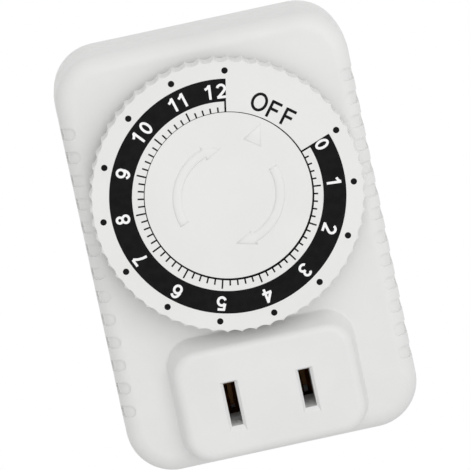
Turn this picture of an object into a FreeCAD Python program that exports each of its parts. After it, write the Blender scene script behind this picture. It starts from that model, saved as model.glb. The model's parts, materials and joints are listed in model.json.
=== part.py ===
import FreeCAD, Part
import math
import os

os.makedirs("parts", exist_ok=True)

# A plug-in countdown timer. All sizes are in millimetres.
# X is right and Z is up as the dial is seen. The wall is the plane Y = 0, and the depth of a
# point is its distance forward of the wall, along -Y. The origin is midway between the plug blades.

# Housing
body_width = 50.0
body_height = 72.0
body_centre_z = 14.0
body_corner = 8.0
parting_depth = 9.0
face_depth = 20.0
draft_angle = 1.0
face_fillet = 3.0
wall_fillet = 1.0
wall = 1.8
back_wall = 2.0
parting_groove = 0.25
lip_width = 0.8
lip_height = 1.2
lip_gap = 0.1

# Grip notches down both sides of the front shell
notch_count = 13
notch_pitch = 4.0
notch_height = 2.1
notch_reach = 2.5
notch_depth = 0.35
notch_back = 10.2

# Outlet block on the front face
block_width = 32.4
block_bottom = -20.85
block_top = 0.65
block_height = 4.5
block_base_corner = 5.0
block_face_corner = 4.2
block_side_slope = 1.1
block_bottom_slope = 0.4
block_top_slope = 2.6
block_fillet = 1.6
block_base_fillet = 0.5
block_wall = 2.0
blade_spacing = 12.7
slot_z = -11.6
slot_width = 1.95
neutral_slot_length = 7.45
live_slot_length = 6.55
slot_bevel_depth = 0.6
slot_side_bevel = 0.5
slot_top_bevel = 0.3
slot_bottom_bevel = 1.0
sleeve_wall = 1.0
sleeve_back = 12.6

# Dial and spindle
dial_z = 23.35
dial_radius = 22.9
dial_back = 21.5
dial_face = 27.0
dial_wall = 1.6
dial_edge = 0.4
flute_count = 60
flute_depth = 0.5
dial_rib_count = 6
spindle_radius = 3.0
spindle_top_radius = 2.5
spindle_tail_radius = 2.0
spindle_collar_radius = 4.6
running_gap = 0.05
boss_front = 21.2

# Plug blades
blade_length = 16.5
blade_thickness = 1.5
blade_height = 6.35
blade_hole_radius = 1.5
blade_hole_from_wall = 11.7

# Movement
plate_back = 12.0
plate_front = 13.0
module = 0.5
pressure_angle = 25.0
addendum = 0.8
dedendum = 1.15
backlash = 0.12
drive_teeth = 60
pinion_teeth = 10
intermediate_teeth = 30
drive_layer = (15.6, 17.0)
intermediate_layer = (13.8, 15.0)
intermediate_x = 10.5
intermediate_z = dial_z + 14.0
motor_x = 0.0
motor_z = 31.0
motor_radius = 14.0
motor_back = 2.3
motor_front = 11.0
cam_radius = 7.4
cam_low_radius = 6.3
cam_layer = (13.8, 15.2)
off_angle = 40.6
off_sector = 50.0
intermediate_pin_radius = 0.8
motor_shaft_radius = 0.9
pinion_opening = 3.4
motor_wall = 0.6
motor_rivet_x = 16.2
motor_rivet_z = motor_z - 1.0
motor_ear_radius = 2.6
rivet_places = ((motor_x - motor_rivet_x, motor_rivet_z), (motor_x + motor_rivet_x, motor_rivet_z))

# Leaf switch
leaf_band = (13.5, 15.1)
leaf_thickness = 0.25
leaf_ends = (-6.8, 17.2)
moving_leaf_z = 15.45
fixed_leaf_z = 14.1
contact_x = -5.2
contact_radius = 0.75
contact_stem_radius = 0.35
contact_depth = (leaf_band[0] + leaf_band[1]) / 2
meeting_z = (moving_leaf_z + fixed_leaf_z + leaf_thickness) / 2
switch_front = 15.3
switch_rivet_places = ((12.85, 10.0), (12.85, 12.0))
switch_rivet_radius = 0.7

# Fasteners
screw_post_x = 19.0
screw_post_top_z = 44.0
screw_post_bottom_z = -16.0
screw_radius = 1.1
screw_gap = 0.02
screw_seat = 5.0
screw_well_radius = 2.3
screw_hole_radius = 1.3
screw_post_radius = 2.4
screw_sleeve_radius = 3.4
plate_screw_radius = 0.9
rivet_radius = 0.9
plate_posts = ((-18.5, 12.0), (20.3, 26.0), (-16.5, 36.5))

FORWARD = FreeCAD.Vector(0, -1, 0)


def at(x, z, depth):
    return FreeCAD.Vector(x, -depth, z)


def around(x, z, radius, angle, depth):
    return at(x + radius * math.cos(angle), z + radius * math.sin(angle), depth)


def cylinder(x, z, radius, back, front):
    return Part.makeCylinder(radius, front - back, at(x, z, back), FORWARD)


def ring(x, z, outer, inner, back, front):
    return cylinder(x, z, outer, back, front).cut(cylinder(x, z, inner, back, front))


def block(x_low, x_high, z_low, z_high, back, front):
    corner = FreeCAD.Vector(x_low, -front, z_low)
    return Part.makeBox(x_high - x_low, front - back, z_high - z_low, corner)


def rounded_outline(x_low, x_high, z_low, z_high, radius, depth):
    centres = (
        (x_high - radius, z_high - radius),
        (x_low + radius, z_high - radius),
        (x_low + radius, z_low + radius),
        (x_high - radius, z_low + radius),
    )
    arcs = []
    for quarter, (x, z) in enumerate(centres):
        angles = [math.radians(90 * quarter + step) for step in (0, 45, 90)]
        arcs.append(Part.Arc(*[around(x, z, radius, angle, depth) for angle in angles]).toShape())
    edges = []
    for arc, following in zip(arcs, arcs[1:] + arcs[:1]):
        edges.append(arc)
        edges.append(Part.makeLine(arc.Vertexes[-1].Point, following.Vertexes[0].Point))
    return Part.Wire(edges)


def body_outline(inset, depth):
    half = body_width / 2 - inset
    low = body_centre_z - body_height / 2 + inset
    high = body_centre_z + body_height / 2 - inset
    return rounded_outline(-half, half, low, high, body_corner - inset, depth)


def tapered(outline, other):
    return Part.makeLoft([outline, other], True, True)


def body_slab(inset, back, front, end_inset=None):
    if end_inset is None:
        end_inset = inset
    return tapered(body_outline(inset, back), body_outline(end_inset, front))


def edges_at(shape, depth):
    return [e for e in shape.Edges if all(abs(v.Y + depth) < 1e-6 for v in e.Vertexes)]


def revolved(x, z, profile):
    """Turn a closed outline of (radius, depth) points about the axis through x, z."""
    points = [at(x + radius, z, depth) for radius, depth in profile]
    face = Part.Face(Part.makePolygon(points + points[:1]))
    return face.revolve(at(x, z, 0), FORWARD, 360)


def prism(outline, travel):
    return Part.Face(outline).extrude(travel)


def save(shape, node):
    solids = shape.Solids
    if len(solids) == 1:
        shape = solids[0]
    assert shape.isValid() and solids, node
    shape.exportStep("parts/" + node + ".step")
    print(node, len(solids), "solids", round(shape.Volume, 2), "mm3")


# Housing

def front_draft(depth):
    return (depth - parting_depth) * math.tan(math.radians(draft_angle))


def front_skin(inset):
    """Outer form of the front shell, drawn in evenly by the inset."""
    front = face_depth - inset
    skin = body_slab(inset, parting_depth, front, inset + front_draft(front))
    return skin.makeFillet(face_fillet - inset, edges_at(skin, front))


def grip_notches():
    """Shallow D-shaped recesses that wrap from the face over the edge and down the side."""
    prisms = []
    half = notch_height / 2
    start = body_width / 2 - notch_reach + half
    for side in (-1, 1):
        for index in range(notch_count):
            z = body_centre_z + notch_pitch * (index - (notch_count - 1) / 2)
            x_low, x_high = sorted((side * start, side * (body_width / 2 + 2)))
            arm = block(x_low, x_high, z - half, z + half, notch_back, face_depth + 1)
            prisms.append(arm.fuse(cylinder(side * start, z, half, notch_back, face_depth + 1)))
    return Part.makeCompound(prisms).cut(front_skin(notch_depth))


def outlet_block():
    half = block_width / 2
    front = face_depth + block_height
    base = rounded_outline(-half, half, block_bottom, block_top, block_base_corner, face_depth - 1)
    narrow = half - block_side_slope
    bottom = block_bottom + block_bottom_slope
    top = block_top - block_top_slope
    face = rounded_outline(-narrow, narrow, bottom, top, block_face_corner, front)
    body = tapered(base, face)
    return body.makeFillet(block_fillet, edges_at(body, front))


def block_base_edges(shell):
    """Edges of the block's sides and top where they meet the flat face."""
    found = []
    for edge in edges_at(shell, face_depth):
        box = edge.BoundBox
        inside = abs(box.XMin) < block_width / 2 + 0.1 and abs(box.XMax) < block_width / 2 + 0.1
        if inside and box.ZMax < block_top + 0.1 and box.ZMin > block_bottom:
            found.append(edge)
    return found


def slot_cutter(x, length):
    front = face_depth + block_height
    half = slot_width / 2
    z_low = slot_z - length / 2
    z_high = slot_z + length / 2
    straight = block(x - half, x + half, z_low, z_high, sleeve_back - 1, front + 1)
    outlines = []
    for share in (0, 1.5):
        depth = front - slot_bevel_depth + share * slot_bevel_depth
        side = half + share * slot_side_bevel
        low = z_low - share * slot_bottom_bevel
        high = z_high + share * slot_top_bevel
        corners = [at(x + side * sign, z, depth) for sign, z in ((-1, low), (1, low), (1, high), (-1, high))]
        outlines.append(Part.makePolygon(corners + corners[:1]))
    return straight.fuse(tapered(*outlines))


def slots():
    """Place and length of the two slots: the neutral one on the left is longer."""
    return ((-blade_spacing / 2, neutral_slot_length), (blade_spacing / 2, live_slot_length))


def slot_sleeve(x, length):
    """Guide walls that lead a plug blade from the slot to its contact."""
    half_x = slot_width / 2 + sleeve_wall
    half_z = length / 2 + sleeve_wall
    front = face_depth + block_height - block_wall / 2
    return block(x - half_x, x + half_x, slot_z - half_z, slot_z + half_z, sleeve_back, front)


def screw_places():
    for x in (-screw_post_x, screw_post_x):
        for z in (screw_post_bottom_z, screw_post_top_z):
            yield x, z


def make_front_housing():
    inner_face = face_depth - wall
    skin = front_skin(0)
    skin = skin.makeChamfer(parting_groove, edges_at(skin, parting_depth))
    shell = skin.fuse(outlet_block())
    shell = shell.makeFillet(block_base_fillet, block_base_edges(shell))
    shell = shell.cut(grip_notches())
    cavity = body_slab(wall, parting_depth - 1, inner_face)
    pocket_half = block_width / 2 - block_side_slope - block_wall
    pocket = rounded_outline(
        -pocket_half, pocket_half, block_bottom + block_wall, block_top - block_top_slope - block_wall,
        block_face_corner - block_wall, inner_face - 1,
    )
    pocket = prism(pocket, FORWARD * (face_depth + block_height - block_wall - inner_face + 1))
    rebate = body_slab(wall - lip_width - lip_gap, parting_depth - 1, parting_depth + lip_height + lip_gap)
    shell = shell.cut(cavity.fuse(pocket).fuse(rebate))
    posts = [cylinder(x, z, screw_post_radius, parting_depth, face_depth - 1) for x, z in screw_places()]
    posts += [cylinder(x, z, 2.0, plate_front, face_depth - 1) for x, z in plate_posts]
    spindle_boss = cylinder(0, dial_z, 5.2, face_depth - 1, boss_front)
    guide_ring = ring(0, dial_z, 19.6, 18.4, face_depth - 1, face_depth + 0.8)
    sleeves = [slot_sleeve(x, length) for x, length in slots()]
    shell = shell.fuse(posts + sleeves + [spindle_boss, guide_ring])
    holes = [cylinder(x, z, screw_radius + screw_gap, parting_depth - 1, 16) for x, z in screw_places()]
    holes += [cylinder(x, z, plate_screw_radius + screw_gap, plate_front - 1, 17) for x, z in plate_posts]
    holes.append(cylinder(0, dial_z, spindle_radius + running_gap, inner_face - 1, boss_front + 1))
    holes += [slot_cutter(x, length) for x, length in slots()]
    return shell.cut(holes)


def make_rear_housing():
    rear_inset = parting_depth * math.tan(math.radians(draft_angle))
    skin = body_slab(rear_inset, 0, parting_depth, 0)
    skin = skin.makeFillet(wall_fillet, edges_at(skin, 0))
    skin = skin.makeChamfer(parting_groove, edges_at(skin, parting_depth))
    lip_outer = body_slab(wall - lip_width, parting_depth - 1, parting_depth + lip_height)
    shell = skin.fuse(lip_outer).cut(body_slab(wall, back_wall, parting_depth + lip_height + 1))
    sleeves = [cylinder(x, z, screw_sleeve_radius, back_wall - 1, parting_depth) for x, z in screw_places()]
    cages = []
    for x in (-blade_spacing / 2, blade_spacing / 2):
        frame = block(x - 3.8, x + 3.8, -6.5, 6.5, back_wall - 1, 2.8)
        cages.append(frame.cut(block(x - 2.6, x + 2.6, -5.3, 5.3, back_wall, 5)))
    shell = shell.fuse(sleeves + cages)
    holes = []
    for x, z in screw_places():
        holes.append(cylinder(x, z, screw_well_radius, -1, screw_seat))
        holes.append(cylinder(x, z, screw_hole_radius, screw_seat - 1, parting_depth + 1))
    for x in (-blade_spacing / 2, blade_spacing / 2):
        half_x = blade_thickness / 2 + 0.1
        half_z = blade_height / 2 + 0.1
        holes.append(block(x - half_x, x + half_x, -half_z, half_z, -1, back_wall + 1))
    return shell.cut(holes)


def make_housing_screws():
    screws = []
    for x, z in screw_places():
        head = revolved(x, z, ((0, 3.4), (1.6, 3.4), (2.1, 4.0), (2.1, screw_seat), (0, screw_seat)))
        shank = cylinder(x, z, screw_radius, screw_seat, 15)
        cross = block(x - 1.3, x + 1.3, z - 0.25, z + 0.25, 3, 4.1)
        cross = cross.fuse(block(x - 0.25, x + 0.25, z - 1.3, z + 1.3, 3, 4.1))
        screws.append(head.fuse(shank).cut(cross))
    return Part.makeCompound(screws)


# Dial, spindle and cam

def fluted_outline(depth):
    """Concave flutes that meet in pointed ridges, as arcs round the dial."""
    step = 2 * math.pi / flute_count
    edges = []
    for index in range(flute_count):
        angle = index * step
        edges.append(Part.Arc(
            around(0, dial_z, dial_radius, angle, depth),
            around(0, dial_z, dial_radius - flute_depth, angle + step / 2, depth),
            around(0, dial_z, dial_radius, angle + step, depth),
        ).toShape())
    return Part.Wire(edges)


def make_timer_dial():
    grip = prism(fluted_outline(dial_back), FORWARD * (dial_face - dial_back))
    blank = revolved(0, dial_z, (
        (0, dial_back), (dial_radius + 1, dial_back), (dial_radius + 1, dial_face - dial_edge),
        (dial_radius, dial_face - dial_edge), (dial_radius - dial_edge, dial_face), (0, dial_face),
    ))
    hollow_radius = dial_radius - flute_depth - dial_wall
    hollow = ring(0, dial_z, hollow_radius, 5.0, dial_back - 1, dial_face - dial_wall)
    dial = grip.common(blank).cut(hollow)
    ribs = []
    for index in range(dial_rib_count):
        rib = block(4.5, hollow_radius + 0.5, dial_z - 0.4, dial_z + 0.4, dial_face - 3.6, dial_face - 1)
        rib.rotate(at(0, dial_z, 0), FORWARD, 360 * index / dial_rib_count)
        ribs.append(rib)
    hub = cylinder(0, dial_z, 5.0, boss_front + 0.15, dial_face - dial_wall)
    socket = spindle_top(0.02, dial_back - 1, 25.3)
    return dial.fuse(ribs + [hub]).cut(socket)


def spindle_top(gap, back, front):
    """Upper end of the spindle, flattened on one side so that it turns the dial."""
    radius = spindle_top_radius + gap
    flat = block(radius - 0.7, radius + 1, dial_z - 4, dial_z + 4, back - 1, front + 1)
    return cylinder(0, dial_z, radius, back, front).cut(flat)


def make_dial_spindle():
    tail = cylinder(0, dial_z, spindle_tail_radius, plate_back + 0.1, plate_front + 0.3)
    neck = cylinder(0, dial_z, spindle_tail_radius - 0.4, plate_front + 0.25, plate_front + 0.7)
    shaft = cylinder(0, dial_z, spindle_radius, plate_front + 0.7, boss_front)
    collar = cylinder(0, dial_z, spindle_collar_radius, 17.55, 18.05)
    return tail.fuse([neck, shaft, collar, spindle_top(0, boss_front - 0.5, 25.1)])


def make_spindle_clip():
    inner = spindle_tail_radius - 0.4
    clip = ring(0, dial_z, 3.9, inner, plate_front + 0.3, plate_front + 0.65)
    mouth = block(-inner * 0.8, inner * 0.8, dial_z - 5, dial_z - 0.6, plate_front, plate_front + 1)
    return clip.cut(mouth)


def make_off_cam():
    """Round cam with one low sector, which faces the leaf switch when the dial reads OFF."""
    back, front = cam_layer
    cam = cylinder(0, dial_z, cam_low_radius, back, front)
    low_centre = math.radians(90 - off_angle - 180)
    low_half = math.radians(off_sector / 2)
    angles = [low_centre + low_half, low_centre + math.pi, low_centre - low_half + 2 * math.pi]
    start, middle, end = [around(0, dial_z, cam_radius, angle, back) for angle in angles]
    rim = Part.Arc(start, middle, end).toShape()
    centre = at(0, dial_z, back)
    sector = Part.Wire([Part.makeLine(centre, start), rim, Part.makeLine(end, centre)])
    cam = cam.fuse(prism(sector, FORWARD * (front - back)))
    return cam.cut(cylinder(0, dial_z, spindle_radius + 0.02, back - 1, front + 1))


def make_friction_washer():
    """Three-legged spring washer between the collar and the drive wheel."""
    washer = ring(0, dial_z, 4.4, spindle_radius + 0.1, 17.2, 17.5)
    legs = []
    for index in range(3):
        leg = block(3.6, 7.2, dial_z - 0.9, dial_z + 0.9, 17.2, 17.5)
        leg.rotate(at(0, dial_z, 0), FORWARD, 120 * index)
        legs.append(leg)
    return washer.fuse(legs)


# Gear train

def involute(angle):
    return math.tan(angle) - angle


def gear(x, z, teeth, layer, first_tooth):
    """Spur gear whose flanks run through the involute's points at root, pitch and tip."""
    back, front = layer
    pitch_radius = module * teeth / 2
    base_radius = pitch_radius * math.cos(math.radians(pressure_angle))
    radii = (pitch_radius - dedendum * module, pitch_radius, pitch_radius + addendum * module)
    pitch_half = (math.pi * module / 4 - backlash / 2) / pitch_radius
    half_angles = []
    for radius in radii:
        local = math.acos(min(1.0, base_radius / radius))
        half_angles.append(pitch_half + involute(math.radians(pressure_angle)) - involute(local))
    flank = list(zip(radii, half_angles))
    points = []
    for index in range(teeth):
        centre = first_tooth + 2 * math.pi * index / teeth
        points += [around(x, z, radius, centre - half, back) for radius, half in flank]
        points += [around(x, z, radius, centre + half, back) for radius, half in reversed(flank)]
    return prism(Part.makePolygon(points + points[:1]), FORWARD * (front - back))


def heading(x_from, z_from, x_to, z_to):
    return math.atan2(z_to - z_from, x_to - x_from)


def gap_facing(angle, teeth):
    """Angle of a first tooth that leaves a gap centred on the given direction."""
    return angle + math.pi / teeth


pinion_x = intermediate_x - module * (intermediate_teeth + pinion_teeth) / 2
pinion_z = intermediate_z
to_intermediate = heading(0, dial_z, intermediate_x, intermediate_z)
to_pinion = heading(intermediate_x, intermediate_z, pinion_x, pinion_z)


def make_drive_wheel():
    back, front = drive_layer
    wheel = gear(0, dial_z, drive_teeth, drive_layer, to_intermediate)
    holes = [cylinder(0, dial_z, spindle_radius + running_gap, back - 1, front + 1)]
    for index in range(5):
        angle = math.radians(90 + 72 * index)
        centre = around(0, dial_z, 9.6, angle, back)
        holes.append(cylinder(centre.x, centre.z, 2.6, back - 1, front + 1))
    return wheel.cut(holes)


def make_intermediate_wheel():
    facing_dial = gap_facing(to_intermediate + math.pi, pinion_teeth)
    wheel = gear(intermediate_x, intermediate_z, intermediate_teeth, intermediate_layer, to_pinion)
    leaf_layer = (intermediate_layer[1] - 0.1, drive_layer[1] + 0.4)
    pinion = gear(intermediate_x, intermediate_z, pinion_teeth, leaf_layer, facing_dial)
    bore = cylinder(intermediate_x, intermediate_z, intermediate_pin_radius + running_gap, 13, 18)
    return wheel.fuse(pinion).cut(bore)


def make_intermediate_pin():
    pin = cylinder(intermediate_x, intermediate_z, intermediate_pin_radius, plate_back, 17.9)
    shoulder = cylinder(intermediate_x, intermediate_z, 1.5, plate_front, intermediate_layer[0] - 0.1)
    return pin.fuse(shoulder)


def make_motor_pinion():
    facing = gap_facing(to_pinion + math.pi, pinion_teeth)
    teeth = gear(pinion_x, pinion_z, pinion_teeth, (13.4, 15.2), facing)
    return teeth.fuse(cylinder(pinion_x, pinion_z, motor_shaft_radius, 9.6, 13.5))


def make_movement_plate():
    outline = rounded_outline(-22.4, 22.4, 6.5, 40.9, 4, plate_back)
    plate = prism(outline, FORWARD * (plate_front - plate_back))
    holes = [cylinder(x, z, 1.2, plate_back - 1, plate_front + 1) for x, z in plate_posts]
    holes.append(cylinder(0, dial_z, spindle_tail_radius + running_gap, plate_back - 1, plate_front + 1))
    through = (plate_back - 1, plate_front + 1)
    holes.append(cylinder(intermediate_x, intermediate_z, intermediate_pin_radius, *through))
    holes.append(cylinder(pinion_x, pinion_z, pinion_opening, *through))
    holes += [cylinder(x, z, rivet_radius, *through) for x, z in rivet_places]
    holes += [cylinder(x, z, switch_rivet_radius, *through) for x, z in switch_rivet_places]
    return plate.cut(holes)


def make_plate_screws():
    screws = []
    for x, z in plate_posts:
        head = revolved(x, z, ((0, 10.9), (1.4, 10.9), (1.8, 11.3), (1.8, plate_back), (0, plate_back)))
        slot = block(x - 2, x + 2, z - 0.2, z + 0.2, 10, 11.3)
        screws.append(head.fuse(cylinder(x, z, plate_screw_radius, plate_back, 16.5)).cut(slot))
    return Part.makeCompound(screws)


# Motor

def make_motor_can():
    can = cylinder(motor_x, motor_z, motor_radius, motor_back, motor_front)
    can = can.makeChamfer(0.8, edges_at(can, motor_back))
    inside = cylinder(motor_x, motor_z, motor_radius - motor_wall, motor_back + motor_wall, motor_front + 1)
    lead_notch = block(motor_x - 4, motor_x + 4, motor_z - motor_radius - 1, motor_z - 10, 7.6, 11.5)
    return can.cut([inside, lead_notch])


def make_motor_cover():
    cover = cylinder(motor_x, motor_z, motor_radius, motor_front, plate_back)
    ears = []
    for x, z in rivet_places:
        low, high = sorted((motor_x, x))
        ears.append(block(low, high, z - motor_ear_radius, z + motor_ear_radius, motor_front, plate_back))
        ears.append(cylinder(x, z, motor_ear_radius, motor_front, plate_back))
    through = (motor_front - 1, plate_back + 1)
    holes = [cylinder(x, z, rivet_radius, *through) for x, z in rivet_places]
    holes.append(cylinder(pinion_x, pinion_z, motor_shaft_radius + running_gap, *through))
    holes.append(cylinder(0, dial_z, spindle_tail_radius + 0.5, *through))
    return cover.fuse(ears).cut(holes)


def make_motor_rivets():
    rivets = []
    for x, z in rivet_places:
        head = cylinder(x, z, 1.6, motor_front - 0.6, motor_front)
        rivets.append(head.fuse(cylinder(x, z, rivet_radius, motor_front, plate_front)))
    return Part.makeCompound(rivets)


def make_coil_bobbin():
    return revolved(motor_x, motor_z, (
        (6.2, 3.2), (12.9, 3.2), (12.9, 3.9), (7.0, 3.9),
        (7.0, 6.8), (12.9, 6.8), (12.9, 7.5), (6.2, 7.5),
    ))


def make_coil_winding():
    return ring(motor_x, motor_z, 12.4, 7.05, 3.95, 6.75)


def make_motor_rotor():
    return ring(motor_x, motor_z, 5.6, 1.05, 3.6, 7.4)


def make_rotor_shaft():
    return cylinder(motor_x, motor_z, 1.0, 2.9, 9.0)


# Plug blades, outlet contacts and leaf switch

def make_blade(x):
    """Flat blade with a rounded tip and a hole, and a cross foot that seats inside the back wall."""
    half = blade_height / 2
    tip = -blade_length
    blade = block(x - blade_thickness / 2, x + blade_thickness / 2, -half, half, tip, 3.6)
    corners = [e for e in edges_at(blade, tip) if abs(e.Vertexes[0].X - e.Vertexes[1].X) > 1]
    blade = blade.makeFillet(2.0, corners)
    sides = [e for e in edges_at(blade, tip) if abs(e.Vertexes[0].X - e.Vertexes[1].X) < 1e-6]
    blade = blade.makeChamfer(0.4, sides)
    hole_start = at(x - 2, 0, -blade_hole_from_wall)
    hole = Part.makeCylinder(blade_hole_radius, 4, hole_start, FreeCAD.Vector(1, 0, 0))
    foot = block(x - 2.4, x + 2.4, -5.1, 5.1, back_wall, 2.8)
    return blade.cut(hole).fuse(foot)


def strip(points, thickness, z_low, z_high):
    """Bent metal strip: its line of (x, depth) points is given half the thickness on each side."""
    line = [FreeCAD.Vector(x, -depth, z_low) for x, depth in points]
    sides = ([], [])
    for index, point in enumerate(line):
        before = line[max(index - 1, 0)]
        after = line[min(index + 1, len(line) - 1)]
        into = (point - before) if index else (after - point)
        out = (after - point) if index < len(line) - 1 else into
        into = into.normalize()
        out = out.normalize()
        bisector = (into + out).normalize()
        across = FreeCAD.Vector(-bisector.y, bisector.x, 0)
        reach = thickness / 2 / bisector.dot(into)
        sides[0].append(point + across * reach)
        sides[1].append(point - across * reach)
    outline = sides[0] + sides[1][::-1]
    return prism(Part.makePolygon(outline + outline[:1]), FreeCAD.Vector(0, 0, z_high - z_low))


def make_receptacle(x, half_length):
    """Fork of two sprung leaves that grip a plug blade, with a flared mouth behind the slot."""
    fork = (
        (-1.9, 12.1), (-0.65, 10.4), (-1.9, 7.8), (-1.9, 4.0),
        (1.9, 4.0), (1.9, 7.8), (0.65, 10.4), (1.9, 12.1),
    )
    points = [(x + across, depth) for across, depth in fork]
    return strip(points, 0.5, slot_z - half_length, slot_z + half_length)


def make_neutral_busbar():
    x = -blade_spacing / 2
    bar = block(x - 2.1, x + 2.1, slot_z - 3.0, 4.4, 2.85, 3.65)
    half_x = blade_thickness / 2 + 0.02
    half_z = blade_height / 2 + 0.02
    slot = block(x - half_x, x + half_x, -half_z, half_z, 2, 5)
    return bar.cut(slot)


def make_contact_carrier():
    carrier = prism(rounded_outline(-12.5, 12.5, slot_z - 5.6, slot_z + 5.6, 1.5, 4.6), FORWARD * 4.0)
    pockets = []
    for x in (-blade_spacing / 2, blade_spacing / 2):
        pockets.append(block(x - 2.35, x + 2.35, slot_z - 4.3, slot_z + 4.3, 4, 9))
    pockets.append(block(-2.6, 2.6, slot_z - 3.5, slot_z + 3.5, 6.4, 9))
    return carrier.cut(pockets)


def make_switch_base():
    base = block(10.4, 15.3, 8.8, 17.0, plate_front, switch_front)
    slots = [
        block(9, 16, z - 0.02, z + leaf_thickness + 0.02, leaf_band[0] - 0.1, leaf_band[1] + 0.1)
        for z in (moving_leaf_z, fixed_leaf_z)
    ]
    holes = [cylinder(x, z, switch_rivet_radius, plate_front - 1, 16) for x, z in switch_rivet_places]
    return base.cut(slots + holes)


def make_switch_rivets():
    rivets = []
    for x, z in switch_rivet_places:
        rivet = cylinder(x, z, switch_rivet_radius, plate_back, switch_front)
        rivet = rivet.fuse(cylinder(x, z, 0.95, plate_back - 0.4, plate_back))
        rivets.append(rivet)
    return Part.makeCompound(rivets)


def leaf_strip(z):
    return block(*leaf_ends, z, z + leaf_thickness, *leaf_band)


def make_moving_contact_leaf():
    """Sprung leaf with a half-round nose that the cam's rim presses down."""
    back, front = leaf_band
    leaf = leaf_strip(moving_leaf_z)
    nose_top = dial_z - cam_radius - 0.03
    nose_radius = 1.2
    nose = cylinder(0, nose_top - nose_radius, nose_radius, back, front)
    below = block(-3, 3, moving_leaf_z - 4, moving_leaf_z, back - 1, front + 1)
    leaf = leaf.fuse(nose.cut(below))
    return leaf.cut(tip_hole(moving_leaf_z))


def make_fixed_contact_leaf():
    return leaf_strip(fixed_leaf_z).cut(tip_hole(fixed_leaf_z))


def contact_rod(radius, z_low, z_high):
    foot = at(contact_x, z_low, contact_depth)
    return Part.makeCylinder(radius, z_high - z_low, foot, FreeCAD.Vector(0, 0, 1))


def tip_hole(z):
    return contact_rod(contact_stem_radius, z - 1, z + 1)


def make_moving_contact_tip():
    head = contact_rod(contact_radius, meeting_z, moving_leaf_z)
    return head.fuse(contact_rod(contact_stem_radius, meeting_z, moving_leaf_z + leaf_thickness))


def make_fixed_contact_tip():
    head = contact_rod(contact_radius, fixed_leaf_z + leaf_thickness, meeting_z)
    return head.fuse(contact_rod(contact_stem_radius, fixed_leaf_z, meeting_z))


def make_lead(points, radius):
    """Insulated lead along straight runs joined by tangent arcs, as wide as the runs allow."""
    corners = [at(*point) for point in points]
    edges = []
    start = corners[0]
    for before, corner, after in zip(corners, corners[1:], corners[2:]):
        back = before - corner
        onward = after - corner
        reach = 0.45 * min(back.Length, onward.Length)
        half_angle = back.getAngle(onward) / 2
        back = back.normalize()
        onward = onward.normalize()
        middle_way = (back + onward).normalize()
        centre = corner + middle_way * (reach / math.cos(half_angle))
        arc_start = corner + back * reach
        arc_end = corner + onward * reach
        arc_middle = centre - middle_way * (reach * math.tan(half_angle))
        edges.append(Part.makeLine(start, arc_start))
        edges.append(Part.Arc(arc_start, arc_middle, arc_end).toShape())
        start = arc_end
    edges.append(Part.makeLine(start, corners[-1]))
    section = Part.Wire(Part.makeCircle(radius, corners[0], corners[1] - corners[0]))
    return Part.Wire(edges).makePipeShell([section], True, False)


# Routes of the leads, as x, z, depth
live_route = ((6.35, 0, 3.6), (6.35, 0, 9), (12, 1.5, 12), (16.4, 4, 14.3), (16.4, fixed_leaf_z, 14.3))
switched_route = (
    (8.5, slot_z, 10.2), (14, slot_z, 10.2), (20.2, -4, 12.5), (20.8, 4.5, 14.3),
    (20.8, 15.575, 14.3), (17.2, 15.575, 14.3),
)
motor_live_route = ((2, 18.6, 9.4), (2, 10, 9.4), (4.45, 2, 10), (4.45, slot_z + 3.2, 10))
motor_neutral_route = ((-2, 18.6, 9.4), (-2, 10, 9.4), (-4.45, 2, 10), (-4.45, slot_z + 3.8, 10))


save(make_front_housing(), "front_housing")
save(make_rear_housing(), "rear_housing")
save(make_housing_screws(), "housing_screws")
save(make_timer_dial(), "timer_dial")
save(make_dial_spindle(), "dial_spindle")
save(make_spindle_clip(), "spindle_clip")
save(make_off_cam(), "off_cam")
save(make_friction_washer(), "friction_washer")
save(make_drive_wheel(), "drive_wheel")
save(make_intermediate_wheel(), "intermediate_wheel")
save(make_intermediate_pin(), "intermediate_pin")
save(make_motor_pinion(), "motor_pinion")
save(make_movement_plate(), "movement_plate")
save(make_plate_screws(), "plate_screws")
save(make_motor_can(), "motor_can")
save(make_motor_cover(), "motor_cover")
save(make_motor_rivets(), "motor_rivets")
save(make_coil_bobbin(), "coil_bobbin")
save(make_coil_winding(), "coil_winding")
save(make_motor_rotor(), "motor_rotor")
save(make_rotor_shaft(), "rotor_shaft")
save(make_blade(blade_spacing / 2), "live_blade")
save(make_blade(-blade_spacing / 2), "neutral_blade")
save(make_receptacle(blade_spacing / 2, 3.2), "live_receptacle")
save(make_receptacle(-blade_spacing / 2, 3.8), "neutral_receptacle")
save(make_neutral_busbar(), "neutral_busbar")
save(make_contact_carrier(), "contact_carrier")
save(make_switch_base(), "switch_base")
save(make_switch_rivets(), "switch_rivets")
save(make_moving_contact_leaf(), "moving_contact_leaf")
save(make_fixed_contact_leaf(), "fixed_contact_leaf")
save(make_moving_contact_tip(), "moving_contact_tip")
save(make_fixed_contact_tip(), "fixed_contact_tip")
save(make_lead(live_route, 0.8), "live_lead")
save(make_lead(switched_route, 0.8), "switched_lead")
save(make_lead(motor_live_route, 0.6), "motor_lead_live")
save(make_lead(motor_neutral_route, 0.6), "motor_lead_neutral")
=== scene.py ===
import json
import math

import bmesh
import bpy
from mathutils import Matrix, Vector


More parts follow.
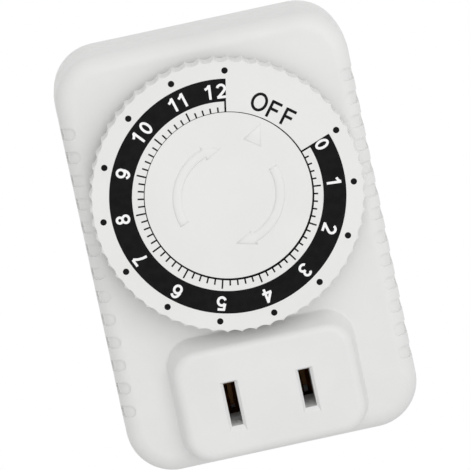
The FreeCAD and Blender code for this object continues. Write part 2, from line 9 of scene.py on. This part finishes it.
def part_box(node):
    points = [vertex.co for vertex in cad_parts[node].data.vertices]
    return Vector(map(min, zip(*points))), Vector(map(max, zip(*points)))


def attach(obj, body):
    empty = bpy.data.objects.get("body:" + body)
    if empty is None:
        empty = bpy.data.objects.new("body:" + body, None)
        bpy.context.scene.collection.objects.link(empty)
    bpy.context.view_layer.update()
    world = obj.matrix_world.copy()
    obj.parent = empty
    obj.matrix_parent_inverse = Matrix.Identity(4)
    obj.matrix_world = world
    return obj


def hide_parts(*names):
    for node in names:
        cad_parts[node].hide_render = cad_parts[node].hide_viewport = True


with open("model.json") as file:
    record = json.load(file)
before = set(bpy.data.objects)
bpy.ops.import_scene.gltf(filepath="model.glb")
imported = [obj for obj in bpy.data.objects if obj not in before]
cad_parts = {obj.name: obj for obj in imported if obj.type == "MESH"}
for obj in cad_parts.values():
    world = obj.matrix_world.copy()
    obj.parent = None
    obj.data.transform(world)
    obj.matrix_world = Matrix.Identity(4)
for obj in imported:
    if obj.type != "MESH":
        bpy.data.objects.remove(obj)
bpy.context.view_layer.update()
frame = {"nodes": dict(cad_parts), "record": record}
mm = 0.001

# The dial's face, read from the frame. Print and marks are drawn flat on it, in millimetres,
# with X to the right, Y up and Z out of the face. Angles run clockwise from the top, in degrees.
dial_low, dial_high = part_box("timer_dial")
dial_centre = Vector((0, dial_low.y, (dial_low.z + dial_high.z) / 2))
face_to_world = Matrix.Translation(dial_centre) @ Matrix.Rotation(math.radians(90), 4, "X")
face_to_world = face_to_world @ Matrix.Scale(mm, 4)

# Hours: a black ring with a dot, a numeral and five ticks to each hour
hours = 12
hour_zero = 70.42
hour_step = 25.0
ring_inner = 15.86
ring_outer = 19.65
ring_overrun = 0.4
ring_facet = 1.2
dots_radius = 21.0
dot_radius = 0.53
ticks_per_hour = 5
tick_end = 14.95
long_tick_end = 15.5
tick_width = 0.26
closing_width = 0.3
closing_overlap = 0.1

# Numerals, and how far each stands from its hour: degrees clockwise, then millimetres outward
numeral_radius = 17.72
numeral_height = 2.42
numeral_stroke = 0.42
numeral_advance = {"10": 2.1, "11": 1.8, "12": 2.07}
numeral_shifts = (
    (2.5, 0.08), (-1.25, 0.0), (-0.4, 0.0), (0.7, 0.15), (-0.2, 0.2), (-0.2, 0.25), (-0.45, 0.27),
    (0.85, 0.2), (-0.8, 0.05), (-0.8, 0.05), (-1.5, 0.03), (-1.1, -0.03), (-5.45, -0.12),
)

# The word OFF: one straight word, each letter at its angle and radius
off_turn = 38.3
off_height = 3.0
off_stroke = 0.47
off_letters = (("O", 30.3, 16.57), ("F", 39.8, 16.22), ("F", 49.1, 16.42))

# Levels of the print above the face, and of each further stroke, in heights of a character
ink_level = 0.02
numeral_level = 0.036
stroke_lift = 0.002

# The circle and the raised marks stand a little to one side of the print
moulding_shift = 0.19
moulding_shift_angle = 68.0
circle_radius = 14.01
circle_width = 0.22
circle_swell = 0.07
circle_swell_angle = 155.0

# Raised marks: two arrows that chase each other round the middle, and a triangle under OFF
arrow_start = 248.5
arrow_end = 341.0
arrow_tip = 364.0
arrow_start_radius = 8.7
arrow_end_radius = 8.2
arrow_tip_radius = 8.1
arrow_width = 1.6
arrow_head_width = 2.6
arrow_steps = 24
triangle_angle = 35.5
triangle_base_radius = 9.6
triangle_apex_radius = 13.3
triangle_base = 3.3
mark_height = 0.3
mark_draft = 0.24
mark_root = 0.05

# Smooth shading of the visible nodes: points this near are one, and edges this steep stay sharp
merge_distance = 0.0005
sharp_angle = 32.0

# Camera, in millimetres and degrees about the dial's centre
camera_distance = 900.0
camera_lens = 416.83
camera_up = 9.273
camera_left = 0.7
camera_roll = 12.2
camera_shift = (1.175, -6.375)

# Studio, in metres: the floor shows its paint and its shadow near the object, and is plain
# white further out
floor_level = -0.085
floor_radius = 6.0
floor_paint_ends = 0.16
floor_white_starts = 0.24
world_level = 0.67
key_place = (0.2, -0.59, 0.24)
key_size = 0.6
key_power = 1.48


# Shader maths written as plain arithmetic

class Value:
    """A shader socket that adds a Math node for each sum written with it."""

    def __init__(self, graph, socket):
        self.graph = graph
        self.socket = socket

    def _math(self, operation, first, second):
        node = self.graph.node("ShaderNodeMath", {"operation": operation}, {0: first, 1: second})
        return Value(self.graph, node.outputs[0])

    def __add__(self, other):
        return self._math("ADD", self, other)

    __radd__ = __add__

    def __mul__(self, other):
        return self._math("MULTIPLY", self, other)

    def at_least(self, other):
        return self._math("MAXIMUM", self, other)

    def over(self, low, high):
        """0 below the low value, 1 above the high one, and a smooth ramp between."""
        settings = {"interpolation_type": "SMOOTHSTEP", "clamp": True}
        node = self.graph.node("ShaderNodeMapRange", settings, {0: self, 1: low, 2: high})
        return Value(self.graph, node.outputs[0])


class Graph:
    """The nodes of the world or of a material."""

    def __init__(self, tree):
        self.tree = tree

    def join(self, value, socket):
        source = value.socket if isinstance(value, Value) else value
        if isinstance(source, bpy.types.NodeSocket):
            self.tree.links.new(source, socket)
        else:
            socket.default_value = source

    def node(self, kind, settings=None, inputs=None):
        node = self.tree.nodes.new(kind)
        for key, value in (settings or {}).items():
            setattr(node, key, value)
        for key, value in (inputs or {}).items():
            self.join(value, node.inputs[key])
        return node

    def place(self, stretch=(1, 1, 1)):
        """Place on the object in millimetres, stretched along the axes."""
        coordinates = self.node("ShaderNodeTexCoord").outputs["Object"]
        inputs = {"Vector": coordinates, "Scale": [amount / mm for amount in stretch]}
        return self.node("ShaderNodeMapping", None, inputs).outputs[0]

    def noise(self, scale, detail=3.0, stretch=(1, 1, 1)):
        inputs = {"Vector": self.place(stretch), "Scale": scale, "Detail": detail}
        return Value(self, self.node("ShaderNodeTexNoise", None, inputs).outputs[0])

    def blend(self, amount, first, second):
        """From the first colour to the second."""
        settings = {"data_type": "RGBA", "clamp_factor": True}
        inputs = {0: amount, 6: linear(first), 7: linear(second)}
        return self.node("ShaderNodeMix", settings, inputs).outputs[2]

    def seen(self):
        """1 where the camera or a reflection looks, and 0 for the light that falls on things."""
        rays = self.node("ShaderNodeLightPath").outputs
        found = Value(self, rays["Is Camera Ray"])
        return found.at_least(rays["Is Glossy Ray"]).at_least(rays["Is Transmission Ray"])


class Finish(Graph):
    """A material: its nodes end in one Principled shader."""

    def __init__(self, name, roughness, metallic=0.0, specular=0.5):
        self.material = bpy.data.materials.new(name)
        self.material.use_nodes = True
        super().__init__(self.material.node_tree)
        self.shader = self.tree.nodes["Principled BSDF"]
        self.put("Roughness", roughness)
        self.put("Metallic", metallic)
        self.put("Specular IOR Level", specular)

    def put(self, name, value):
        self.join(value, self.shader.inputs[name])

    def bump(self, height, distance):
        inputs = {"Height": height, "Distance": distance * mm}
        self.put("Normal", self.node("ShaderNodeBump", None, inputs).outputs[0])


def linear(colour):
    """A colour given as display values of 0 to 255."""
    channels = []
    for channel in colour:
        value = channel / 255
        channels.append(value / 12.92 if value <= 0.04045 else ((value + 0.055) / 1.055) ** 2.4)
    return (*channels, 1.0)


# Finishes

def moulded_plastic(name, light, dark, roughness, grain):
    """Injection-moulded plastic: a faint cloudiness, fine grain and a few rubbed spots."""
    finish = Finish(name, roughness, specular=0.45)
    cloud = finish.noise(scale=0.09, detail=2.0)
    grit = finish.noise(scale=6.0, detail=4.0)
    mottle = finish.noise(scale=0.5, detail=4.0)
    shade = cloud.over(0.3, 0.7) * 0.6 + grit * 0.25
    finish.put("Base Color", finish.blend(shade, light, dark))
    finish.put("Roughness", roughness - 0.05 + mottle.over(0.3, 0.7) * 0.1)
    finish.bump(grit * grain + mottle * grain * 2.5, distance=0.02)
    return finish.material


def printed_ink(name, light, dark):
    """Pad-printed ink, a little uneven in gloss, with a soft orange-peel surface."""
    finish = Finish(name, 0.36, specular=0.08)
    unevenness = finish.noise(scale=0.7, detail=3.0)
    peel = finish.noise(scale=3.0, detail=2.0)
    finish.put("Base Color", finish.blend(unevenness.over(0.3, 0.7), light, dark))
    finish.put("Roughness", 0.3 + unevenness * 0.14)
    finish.bump(peel, distance=0.006)
    return finish.material


def metal(name, light, dark, roughness, stretch=(1, 1, 1)):
    """Stamped or turned metal, with fine drawing marks along one axis and dull patches."""
    finish = Finish(name, roughness, metallic=1.0)
    marks = finish.noise(scale=9.0, detail=4.0, stretch=stretch)
    patches = finish.noise(scale=0.35, detail=4.0)
    shade = marks * 0.5 + patches.over(0.35, 0.7) * 0.5
    finish.put("Base Color", finish.blend(shade, light, dark))
    finish.put("Roughness", roughness - 0.06 + marks * 0.12 + patches * 0.08)
    finish.bump(marks, distance=0.01)
    return finish.material


def wound_wire(name, light, dark):
    """Enamelled wire in close turns round the coil's axis."""
    finish = Finish(name, 0.3, metallic=0.6)
    inputs = {"Vector": finish.place(), "Scale": 1.6}
    wave = finish.node("ShaderNodeTexWave", {"bands_direction": "Y"}, inputs)
    turns = Value(finish, wave.outputs[1])
    patches = finish.noise(scale=1.2, detail=3.0)
    finish.put("Base Color", finish.blend(turns * 0.6 + patches * 0.3, dark, light))
    finish.put("Roughness", 0.24 + patches * 0.16)
    finish.bump(turns, distance=0.05)
    return finish.material


housing_white = moulded_plastic("housing_white", (236, 236, 235), (231, 231, 230), 0.42, 0.5)
dial_white = moulded_plastic("dial_white", (238, 238, 236), (234, 234, 232), 0.38, 0.35)
emboss_white = moulded_plastic("emboss_white", (238, 238, 236), (235, 235, 233), 0.38, 0.35)
gear_white = moulded_plastic("gear_white", (226, 222, 208), (214, 209, 194), 0.5, 0.6)
resin_brown = moulded_plastic("resin_brown", (104, 66, 42), (82, 50, 32), 0.55, 0.8)
lead_white = moulded_plastic("lead_white", (232, 232, 230), (220, 220, 218), 0.4, 0.4)
ring_black = printed_ink("ring_black", (12, 12, 13), (20, 20, 21))
line_black = printed_ink("line_black", (14, 14, 15), (22, 22, 23))
numeral_white = printed_ink("numeral_white", (255, 255, 255), (250, 250, 250))
magnet_black = printed_ink("magnet_black", (44, 44, 46), (30, 30, 32))
blade_brass = metal("blade_brass", (226, 202, 140), (196, 168, 104), 0.26, (1, 0.08, 1))
spring_bronze = metal("spring_bronze", (166, 124, 84), (128, 92, 60), 0.42, (1, 0.1, 1))
contact_silver = metal("contact_silver", (226, 226, 222), (196, 196, 192), 0.3)
screw_steel = metal("screw_steel", (196, 196, 200), (150, 150, 156), 0.34)
plate_steel = metal("plate_steel", (190, 192, 194), (158, 160, 162), 0.4, (0.1, 1, 1))
pinion_brass = metal("pinion_brass", (224, 188, 112), (184, 146, 78), 0.3, (1, 0.2, 1))
coil_copper = wound_wire("coil_copper", (206, 112, 66), (142, 66, 34))

slot_finish = {
    "white_housing": housing_white,
    "white_dial": dial_white,
    "blade_metal": blade_brass,
    "screw_steel": screw_steel,
    "spring_bronze": spring_bronze,
    "contact_silver": contact_silver,
    "gear_plastic": gear_white,
    "pinion_brass": pinion_brass,
    "plate_steel": plate_steel,
    "insulator": resin_brown,
    "winding_copper": coil_copper,
    "magnet": magnet_black,
    "lead_white": lead_white,
}
node_slot = {row["node"]: row["material_slot"] for row in frame["record"]["subparts"]}


# Nodes of the frame

def dress_nodes():
    """Gives every node of the frame its finish."""
    for node, slot in node_slot.items():
        mesh = frame["nodes"][node].data
        mesh.materials.clear()
        mesh.materials.append(slot_finish[slot])


def add_to_scene(name, form):
    """Makes a bmesh an object in the scene, and frees it."""
    mesh = bpy.data.meshes.new(name)
    form.to_mesh(mesh)
    form.free()
    piece = bpy.data.objects.new(name, mesh)
    bpy.context.scene.collection.objects.link(piece)
    return piece


def finish_piece(name, form, material, body):
    """Puts a finished bmesh in the scene as a piece that rides on a body."""
    piece = add_to_scene(name, form)
    piece.data.materials.append(material)
    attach(piece, body)
    return piece


def soften(piece):
    """Keeps the large faces flat where they meet small rounded ones."""
    weighted = piece.modifiers.new("weighted", "WEIGHTED_NORMAL")
    weighted.keep_sharp = True
    weighted.weight = 100


def smooth_node(node, body):
    """A merged, smooth-shaded copy of a visible node, which it replaces."""
    form = bmesh.new()
    form.from_mesh(frame["nodes"][node].data)
    bmesh.ops.remove_doubles(form, verts=form.verts, dist=merge_distance * mm)
    for face in form.faces:
        face.smooth = True
    for edge in form.edges:
        joined = len(edge.link_faces) == 2
        edge.smooth = joined and edge.calc_face_angle(0) < math.radians(sharp_angle)
    slot = node_slot[node]
    piece = finish_piece(node + "_finished", form, slot_finish[slot], body)
    soften(piece)
    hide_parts(node)


# Print and raised marks on the dial

def turned(angle):
    """Turn about the dial's axis, clockwise in degrees."""
    return Matrix.Rotation(math.radians(-angle), 4, "Z")


def polar(angle, radius):
    """Point of the face at a clockwise angle and a radius."""
    return turned(angle) @ Vector((0, radius, 0))


def thicken(form, low, high):
    """Gives a flat form its thickness, between two heights above the face."""
    bmesh.ops.recalc_face_normals(form, faces=form.faces)
    if sum(face.normal.z for face in form.faces) < 0:
        bmesh.ops.reverse_faces(form, faces=form.faces)
    bmesh.ops.translate(form, vec=(0, 0, low), verts=form.verts)
    made = bmesh.ops.extrude_face_region(form, geom=form.faces[:], use_keep_orig=True)
    top = [item for item in made["geom"] if isinstance(item, bmesh.types.BMVert)]
    bmesh.ops.translate(form, vec=(0, 0, high - low), verts=top)
    bmesh.ops.recalc_face_normals(form, faces=form.faces)


def put_on_dial(name, form, material):
    """Moves a form from the flat face onto the dial, as a piece that turns with it."""
    bmesh.ops.transform(form, matrix=face_to_world, verts=form.verts)
    return finish_piece(name, form, material, "dial")


def print_on_dial(name, form, material, base=0.0, level=ink_level):
    thicken(form, base, level)
    put_on_dial(name, form, material)


def hour_angle(hour):
    return hour_zero + hour * hour_step


def moulding_offset():
    return polar(moulding_shift_angle, moulding_shift)


def make_hour_ring():
    """The black part of a ring, spun from its edge beside the zero."""
    form = bmesh.new()
    start = hour_angle(0) - ring_overrun
    sweep = hours * hour_step + 2 * ring_overrun
    edge = form.edges.new([form.verts.new(polar(start, r)) for r in (ring_inner, ring_outer)])
    bmesh.ops.spin(
        form, geom=[edge, *edge.verts], cent=(0, 0, 0), axis=(0, 0, -1),
        angle=math.radians(sweep), steps=round(sweep / ring_facet),
    )
    print_on_dial("hour_ring", form, ring_black)


def make_centre_circle():
    """Thin circle round the middle, which swells on its lower right."""
    form = bmesh.new()
    swell = polar(circle_swell_angle, circle_swell)
    for side in (-1, 1):
        place = Matrix.Translation(moulding_offset() + swell * side)
        radius = circle_radius + side * circle_width / 2
        bmesh.ops.create_circle(form, segments=180, radius=radius, matrix=place)
    bmesh.ops.bridge_loops(form, edges=form.edges)
    print_on_dial("centre_circle", form, line_black)


def draw_bar(form, angle, inner, outer, width):
    """Flat radial stroke."""
    made = bmesh.ops.create_grid(form, x_segments=1, y_segments=1, size=0.5)
    sized = Matrix.Diagonal((width, outer - inner, 1, 1))
    place = turned(angle) @ Matrix.Translation((0, (inner + outer) / 2, 0)) @ sized
    bmesh.ops.transform(form, matrix=place, verts=made["verts"])


def make_scale_lines():
    """The ticks outside the circle, and the lines that close the ring's ends."""
    form = bmesh.new()
    last = hours * ticks_per_hour
    inset = math.degrees(closing_width / 2 / ring_inner) - ring_overrun
    for index in range(last + 1):
        angle = hour_zero + index * hour_step / ticks_per_hour
        away = math.radians(angle - moulding_shift_angle)
        start = circle_radius + moulding_shift * math.cos(away)
        if index in (0, last):
            inward = -inset if index else inset
            draw_bar(form, angle + inward, start, ring_inner + closing_overlap, closing_width)
        else:
            end = tick_end if index % ticks_per_hour else long_tick_end
            draw_bar(form, angle, start, end, tick_width)
    print_on_dial("scale_lines", form, line_black)


def make_hour_dots():
    form = bmesh.new()
    for hour in range(hours + 1):
        place = Matrix.Translation(polar(hour_angle(hour), dots_radius)) @ turned(hour_angle(hour))
        bmesh.ops.create_circle(form, cap_ends=True, segments=28, radius=dot_radius, matrix=place)
    print_on_dial("hour_dots", form, ring_black)


def arc(x, y, across, up, start, end, count=20):
    """Points of an arc of an ellipse, in degrees anticlockwise from the right."""
    angles = [math.radians(start + (end - start) * index / count) for index in range(count + 1)]
    return [(x + across * math.cos(angle), y + up * math.sin(angle)) for angle in angles]


# Centre lines of the strokes, for characters one high about their middle
characters = {
    "0": [arc(0, 0, 0.235, 0.415, 0, 360)],
    "1": [[(0.07, -0.5), (0.07, 0.5)], [(0.05, 0.45), (-0.05, 0.31), (-0.25, 0.2)]],
    "2": [
        arc(0, 0.17, 0.26, 0.25, 165, -35, 12) + [(-0.05, -0.24), (-0.26, -0.42)],
        [(-0.32, -0.42), (0.29, -0.42)],
    ],
    "3": [
        arc(-0.02, 0.215, 0.22, 0.205, 160, -90, 14),
        arc(-0.02, -0.2, 0.26, 0.22, 90, -160, 16),
    ],
    "4": [
        [(0.12, -0.5), (0.12, 0.5)],
        [(0.12, 0.43), (-0.27, -0.19)],
        [(-0.33, -0.19), (0.33, -0.19)],
    ],
    "5": [
        [(0.26, 0.42), (-0.17, 0.42), (-0.23, 0.0)],
        arc(0, -0.14, 0.26, 0.28, 148, -160, 18),
    ],
    "6": [arc(0.01, -0.15, 0.25, 0.27, 0, 360), arc(0.04, 0.0, 0.28, 0.42, 180, 40, 12)],
    "7": [
        [(-0.29, 0.42), (0.27, 0.42)],
        [(0.27, 0.4), (0.08, 0.12), (-0.04, -0.2), (-0.09, -0.5)],
    ],
    "8": [arc(0, 0.225, 0.2, 0.195, 0, 360), arc(0, -0.195, 0.25, 0.225, 0, 360)],
    "9": [arc(-0.01, 0.15, 0.25, 0.27, 0, 360), arc(-0.04, 0.0, 0.28, 0.42, 0, -140, 12)],
    "O": [arc(0, 0, 0.38, 0.46, 0, 360, 32)],
    "F": [
        [(-0.23, -0.5), (-0.23, 0.5)],
        [(-0.23, 0.43), (0.32, 0.43)],
        [(-0.23, 0.02), (0.24, 0.02)],
    ],
}


def draw_stroke(form, points, width, lift):
    """Flat stroke of one width along a line of points, with a mitre where its ends meet."""
    line = [Vector((x, y, lift)) for x, y in points]
    closed = (line[0] - line[-1]).length < width / 100
    first, last = (line[-2], line[1]) if closed else (line[0], line[-1])
    sides = []
    for before, point, after in zip([first, *line], line, [*line[1:], last]):
        into, out = (point - before).normalized(), (after - point).normalized()
        along = (into + out).normalized()
        across = Vector((-along.y, along.x, 0)) * width / 2
        across /= max(along.dot(into), along.dot(out))
        sides.append([form.verts.new(point + across), form.verts.new(point - across)])
    for (left, right), (next_left, next_right) in zip(sides, sides[1:]):
        form.faces.new((left, next_left, next_right, right))
    return [vert for side in sides for vert in side]


def write(form, character, place, height, width):
    """Adds one character, in strokes, at a place on the face."""
    for number, points in enumerate(characters[character]):
        made = draw_stroke(form, points, width / height, number * stroke_lift)
        bmesh.ops.transform(form, matrix=place @ Matrix.Scale(height, 4), verts=made)


def make_numerals():
    form = bmesh.new()
    for hour, (turn, outward) in enumerate(numeral_shifts):
        text = str(hour)
        middle = (len(text) - 1) / 2
        for index, character in enumerate(text):
            across = numeral_advance.get(text, 0) * (index - middle)
            place = Matrix.Translation((across, numeral_radius + outward, 0))
            place = turned(hour_angle(hour) + turn) @ place
            write(form, character, place, numeral_height, numeral_stroke)
    print_on_dial("numerals", form, numeral_white, ink_level, numeral_level)


def make_off_word():
    form = bmesh.new()
    for character, angle, radius in off_letters:
        place = Matrix.Translation(polar(angle, radius)) @ turned(off_turn)
        write(form, character, place, off_height, off_stroke)
    print_on_dial("off_word", form, line_black)


def raise_mark(name, form):
    """Raises a flat form from the face, with drafted walls."""
    bmesh.ops.translate(form, vec=moulding_offset(), verts=form.verts)
    thicken(form, -mark_root, 0)
    outer_faces = [face for face in form.faces if face.normal.z > 0.9]
    bmesh.ops.inset_region(
        form, faces=outer_faces, thickness=mark_draft, depth=mark_height,
        use_boundary=True, use_even_offset=True,
    )
    for face in form.faces:
        face.smooth = True
    soften(put_on_dial(name, form, emboss_white))


def make_arrow(name, half_turn):
    """Curved arrow: a band spun about a centre off the dial's axis, and its head."""
    form = bmesh.new()
    start = polar(arrow_start + half_turn, arrow_start_radius)
    end = polar(arrow_end + half_turn, arrow_end_radius)
    sweep = math.radians(arrow_end - arrow_start)
    chord = end - start
    reach = chord.length / 2 / math.tan(sweep / 2)
    centre = (start + end) / 2 + Vector((chord.y, -chord.x, 0)).normalized() * reach
    outward = (start - centre).normalized() * arrow_width / 2
    edge = form.edges.new([form.verts.new(start - outward), form.verts.new(start + outward)])
    bmesh.ops.spin(
        form, geom=[edge, *edge.verts], cent=centre, axis=(0, 0, -1), angle=sweep,
        steps=arrow_steps,
    )
    last = sorted(form.verts, key=lambda vert: (vert.co - end).length)[:2]
    inner, outer = sorted(last, key=lambda vert: (vert.co - centre).length)
    across = (end - centre).normalized() * arrow_head_width / 2
    tip = polar(arrow_tip + half_turn, arrow_tip_radius)
    head = [form.verts.new(point) for point in (end - across, tip, end + across)]
    form.faces.new([inner, *head, outer])
    raise_mark(name, form)


def make_triangle():
    form = bmesh.new()
    corners = (
        (-triangle_base / 2, triangle_base_radius, 0),
        (triangle_base / 2, triangle_base_radius, 0),
        (0, triangle_apex_radius, 0),
    )
    place = turned(triangle_angle)
    form.faces.new([form.verts.new(place @ Vector(corner)) for corner in corners])
    raise_mark("triangle_mark", form)


# Stage: camera, floor and light

def make_camera():
    """Camera above the dial's axis and a little to its left, rolled, at the photo's angle."""
    turn = Matrix.Rotation(math.radians(camera_roll), 4, "Z")
    turn = turn @ Matrix.Rotation(math.radians(camera_left), 4, "Y")
    turn = turn @ Matrix.Rotation(math.radians(camera_up), 4, "X")
    place = face_to_world @ turn.inverted()
    place = place @ Matrix.Translation((*camera_shift, camera_distance))
    data = bpy.data.cameras.new("camera")
    data.lens = camera_lens
    data.sensor_width = 36
    data.clip_start = 0.01
    data.clip_end = 20
    camera = bpy.data.objects.new("camera", data)
    bpy.context.scene.collection.objects.link(camera)
    camera.matrix_world = Matrix.LocRotScale(place.to_translation(), place.to_quaternion(), None)
    bpy.context.scene.camera = camera


def floor_paint():
    """Pale paint that gives way to plain white away from the object."""
    finish = Finish("floor_paint", 0.8, specular=0.1)
    shade = finish.noise(scale=0.05, detail=3.0)
    finish.put("Base Color", finish.blend(shade, (244, 244, 244), (238, 238, 238)))
    position = finish.node("ShaderNodeTexCoord").outputs["Object"]
    span = finish.node("ShaderNodeVectorMath", {"operation": "LENGTH"}, {0: position})
    far = Value(finish, span.outputs["Value"]).over(floor_paint_ends, floor_white_starts)
    white = finish.node("ShaderNodeEmission", None, {"Color": (1, 1, 1, 1), "Strength": 1.0})
    inputs = {0: finish.seen() * far, 1: finish.shader.outputs[0], 2: white.outputs[0]}
    mixed = finish.node("ShaderNodeMixShader", None, inputs).outputs[0]
    finish.join(mixed, finish.tree.nodes["Material Output"].inputs["Surface"])
    return finish.material


def make_floor():
    form = bmesh.new()
    place = Matrix.Translation((0, 0, floor_level))
    bmesh.ops.create_circle(form, cap_ends=True, segments=96, radius=floor_radius, matrix=place)
    floor = add_to_scene("floor", form)
    floor.data.materials.append(floor_paint())


def make_key_lamp():
    """Square soft lamp in front of the dial, above it and to its right."""
    data = bpy.data.lights.new("key", "AREA")
    data.shape = "SQUARE"
    data.size = key_size
    data.energy = key_power
    lamp = bpy.data.objects.new("key", data)
    bpy.context.scene.collection.objects.link(lamp)
    lamp.location = dial_centre + Vector(key_place)
    lamp.rotation_euler = Vector(key_place).to_track_quat("Z", "Y").to_euler()


def make_world():
    """Even white light all round, and plain white where the camera or a reflection sees it."""
    world = bpy.data.worlds.new("studio")
    world.use_nodes = True
    bpy.context.scene.world = world
    graph = Graph(world.node_tree)
    background = graph.tree.nodes["Background"].inputs
    graph.join((1, 1, 1, 1), background["Color"])
    graph.join(graph.seen() * (1 - world_level) + world_level, background["Strength"])


dress_nodes()
smooth_node("front_housing", "housing")
smooth_node("rear_housing", "housing")
smooth_node("timer_dial", "dial")
smooth_node("housing_screws", "housing")
smooth_node("live_blade", "housing")
smooth_node("neutral_blade", "housing")
make_hour_ring()
make_centre_circle()
make_scale_lines()
make_hour_dots()
make_numerals()
make_off_word()
make_arrow("turning_arrow_left", 0)
make_arrow("turning_arrow_right", 180)
make_triangle()

make_camera()
make_floor()
make_world()
make_key_lamp()
bpy.context.scene.view_settings.view_transform = "Standard"
